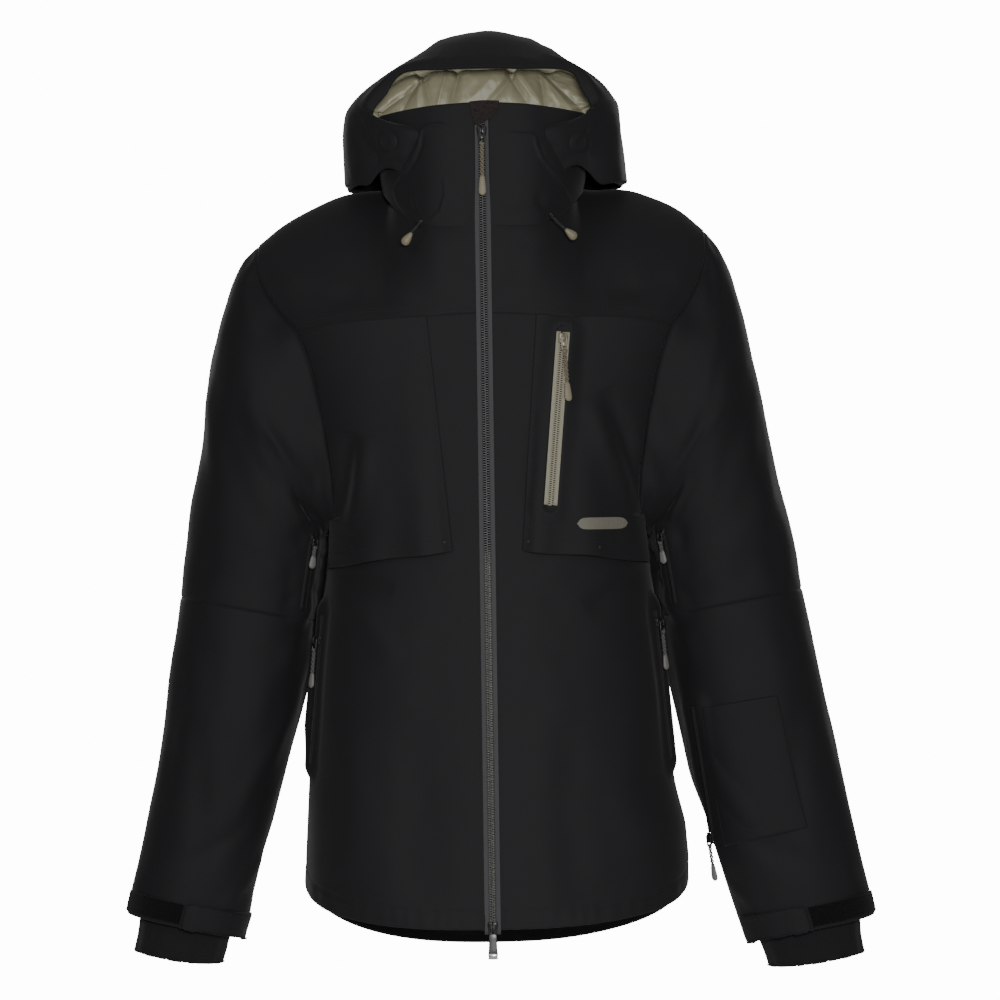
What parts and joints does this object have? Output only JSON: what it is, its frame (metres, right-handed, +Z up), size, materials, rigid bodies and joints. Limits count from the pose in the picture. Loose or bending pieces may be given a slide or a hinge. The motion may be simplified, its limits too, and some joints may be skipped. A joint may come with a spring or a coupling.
{
  "type": "ski jacket",
  "caption": "Hooded ski jacket with a two-way front zip, raised chest panels, chest, hand and pass pockets, vents, cuff tabs and wrist gaiters.",
  "frame": {"origin": "where a hook bears inside the hanger loop, at the back of the neck", "axes": "+Z up along the body, -Y out of the front zip, +X towards the wearer's left"},
  "size_m": [0.7846, 0.3306, 0.9929],
  "materials": {
    "body_shell": "matte woven shell",
    "sleeve_shell": "matte woven shell",
    "lining": "satin taffeta",
    "khaki_zip": "woven zip tape",
    "khaki_pull": "moulded, on braided cord",
    "zip_metal": "black, glossy",
    "zip_tape": "woven zip tape",
    "loop_fabric": "fuzzy loop pile",
    "soft_tricot": "brushed tricot",
    "cord": "round elastic cord",
    "gaiter": "soft stretch cloth"
  },
  "bodies": {
    "body": {"front_panel_left": "body_shell", "front_panel_right": "body_shell", "back_panel": "body_shell", "front_yoke_left": "body_shell", "front_yoke_right": "body_shell", "back_yoke": "body_shell", "body_lining": "lining", "collar_left": "body_shell", "collar_right": "body_shell", "chest_panel_left": "body_shell", "chest_panel_right": "body_shell", "zip_teeth_left": "zip_metal", "zip_teeth_right": "zip_metal", "zip_tape_left": "zip_tape", "zip_tape_right": "zip_tape", "zip_garage": "soft_tricot", "chest_zip": "khaki_zip", "hand_pocket_left_zip": "zip_tape", "hand_pocket_right_zip": "zip_tape", "hanger_loop": "zip_tape", "drawcord_left": "cord", "drawcord_right": "cord", "toggle_left": "khaki_pull", "toggle_right": "khaki_pull"},
    "hood": {"hood_shell": "body_shell", "hood_lining": "lining", "hood_brim": "body_shell"},
    "arm_left": {"upper_sleeve_left": "sleeve_shell", "vent_left_zip": "zip_tape"},
    "forearm_left": {"lower_sleeve_left": "sleeve_shell", "wrist_gaiter_left": "gaiter", "cuff_loop_patch_left": "loop_fabric", "pass_pocket_panel": "sleeve_shell", "pass_pocket_zip": "zip_tape"},
    "cuff_tab_left": {"cuff_tab_left": "sleeve_shell"},
    "arm_right": {"upper_sleeve_right": "sleeve_shell", "vent_right_zip": "zip_tape"},
    "forearm_right": {"lower_sleeve_right": "sleeve_shell", "wrist_gaiter_right": "gaiter", "cuff_loop_patch_right": "loop_fabric"},
    "cuff_tab_right": {"cuff_tab_right": "sleeve_shell"},
    "main_slider": {"main_slider": "zip_metal"},
    "main_pull": {"main_pull": "khaki_pull"},
    "bottom_slider": {"bottom_slider": "zip_metal"},
    "bottom_pull": {"bottom_pull": "zip_metal"},
    "chest_slider": {"chest_slider": "khaki_zip"},
    "chest_pull": {"chest_pull": "khaki_pull"},
    "hand_pocket_left_slider": {"hand_pocket_left_slider": "zip_metal"},
    "hand_pocket_left_pull": {"hand_pocket_left_pull": "khaki_pull"},
    "vent_left_slider": {"vent_left_slider": "zip_metal"},
    "vent_left_pull": {"vent_left_pull": "khaki_pull"},
    "hand_pocket_right_slider": {"hand_pocket_right_slider": "zip_metal"},
    "hand_pocket_right_pull": {"hand_pocket_right_pull": "khaki_pull"},
    "vent_right_slider": {"vent_right_slider": "zip_metal"},
    "vent_right_pull": {"vent_right_pull": "khaki_pull"},
    "pass_pocket_slider": {"pass_pocket_slider": "zip_metal"},
    "pass_pocket_pull": {"pass_pocket_pull": "khaki_pull"}
  },
  "joints": [
    {"name": "hood_fold", "type": "hinge", "parent": "body", "child": "hood", "pos_m": [0, 0.022, -0.002], "axis": [-1, 0, 0], "range_deg": [0, 70]},
    {"name": "shoulder_left", "type": "hinge", "parent": "body", "child": "arm_left", "pos_m": [0.233, -0.075, -0.062], "axis": [0, -1, 0], "range_deg": [0, 60]},
    {"name": "elbow_left", "type": "hinge", "parent": "arm_left", "child": "forearm_left", "pos_m": [0.25725, -0.1455, -0.444], "axis": [-0.9796, 0, -0.2009], "range_deg": [0, 60]},
    {"name": "cuff_tab_peel_left", "type": "hinge", "parent": "forearm_left", "child": "cuff_tab_left", "pos_m": [0.25925, -0.08443, -0.77832], "axis": [0.2153, 0, -0.9765], "range_deg": [0, 80]},
    {"name": "shoulder_right", "type": "hinge", "parent": "body", "child": "arm_right", "pos_m": [-0.233, -0.075, -0.062], "axis": [0, 1, 0], "range_deg": [0, 60]},
    {"name": "elbow_right", "type": "hinge", "parent": "arm_right", "child": "forearm_right", "pos_m": [-0.25725, -0.1455, -0.444], "axis": [-0.9796, 0, 0.2009], "range_deg": [0, 60]},
    {"name": "cuff_tab_peel_right", "type": "hinge", "parent": "forearm_right", "child": "cuff_tab_right", "pos_m": [-0.25925, -0.08443, -0.77832], "axis": [0.2153, 0, 0.9765], "range_deg": [0, 80]},
    {"name": "main_slide", "type": "slide", "parent": "body", "child": "main_slider", "axis": [0, -0.069, -0.9976], "range_m": [0, 0.55]},
    {"name": "main_pull_swing", "type": "hinge", "parent": "main_slider", "child": "main_pull", "pos_m": [0, -0.18168, 0.0589], "axis": [-1, 0, 0], "range_deg": [0, 130]},
    {"name": "bottom_slide", "type": "slide", "parent": "body", "child": "bottom_slider", "axis": [0, 0.069, 0.9976], "range_m": [0, 0.15]},
    {"name": "bottom_pull_swing", "type": "hinge", "parent": "bottom_slider", "child": "bottom_pull", "pos_m": [0, -0.23944, -0.77567], "axis": [-1, 0, 0], "range_deg": [0, 130]},
    {"name": "chest_slide", "type": "slide", "parent": "body", "child": "chest_slider", "axis": [-0.0874, -0.0619, -0.9942], "range_m": [0, 0.16]},
    {"name": "chest_pull_swing", "type": "hinge", "parent": "chest_slider", "child": "chest_pull", "pos_m": [0.08343, -0.20047, -0.16175], "axis": [-0.9741, -0.2035, 0.0983], "range_deg": [0, 130]},
    {"name": "hand_pocket_left_slide", "type": "slide", "parent": "body", "child": "hand_pocket_left_slider", "axis": [0.0936, -0.0234, -0.9953], "range_m": [0, 0.138]},
    {"name": "hand_pocket_left_pull_swing", "type": "hinge", "parent": "hand_pocket_left_slider", "child": "hand_pocket_left_pull", "pos_m": [0.18415, -0.12658, -0.4635], "axis": [-0.6254, -0.7793, -0.0405], "range_deg": [0, 130]},
    {"name": "vent_left_slide", "type": "slide", "parent": "arm_left", "child": "vent_left_slider", "axis": [0.1579, 0.0845, -0.9838], "range_m": [0, 0.065]},
    {"name": "vent_left_pull_swing", "type": "hinge", "parent": "vent_left_slider", "child": "vent_left_pull", "pos_m": [0.18275, -0.1337, -0.37165], "axis": [-0.7808, 0.6206, -0.0721], "range_deg": [0, 130]},
    {"name": "hand_pocket_right_slide", "type": "slide", "parent": "body", "child": "hand_pocket_right_slider", "axis": [-0.0936, -0.0234, -0.9953], "range_m": [0, 0.124]},
    {"name": "hand_pocket_right_pull_swing", "type": "hinge", "parent": "hand_pocket_right_slider", "child": "hand_pocket_right_pull", "pos_m": [-0.18546, -0.12691, -0.47743], "axis": [-0.6254, 0.7793, 0.0405], "range_deg": [0, 130]},
    {"name": "vent_right_slide", "type": "slide", "parent": "arm_right", "child": "vent_right_slider", "axis": [-0.1579, 0.0845, -0.9838], "range_m": [0, 0.065]},
    {"name": "vent_right_pull_swing", "type": "hinge", "parent": "vent_right_slider", "child": "vent_right_pull", "pos_m": [-0.18275, -0.1337, -0.37165], "axis": [-0.7808, -0.6206, 0.0721], "range_deg": [0, 130]},
    {"name": "pass_pocket_slide", "type": "slide", "parent": "forearm_left", "child": "pass_pocket_slider", "axis": [-0.1479, -0.1361, 0.9796], "range_m": [0, 0.134]},
    {"name": "pass_pocket_pull_swing", "type": "hinge", "parent": "pass_pocket_slider", "child": "pass_pocket_pull", "pos_m": [0.23156, -0.10658, -0.69528], "axis": [-0.6712, 0.7413, 0.0017], "range_deg": [0, 130]}
  ]
}
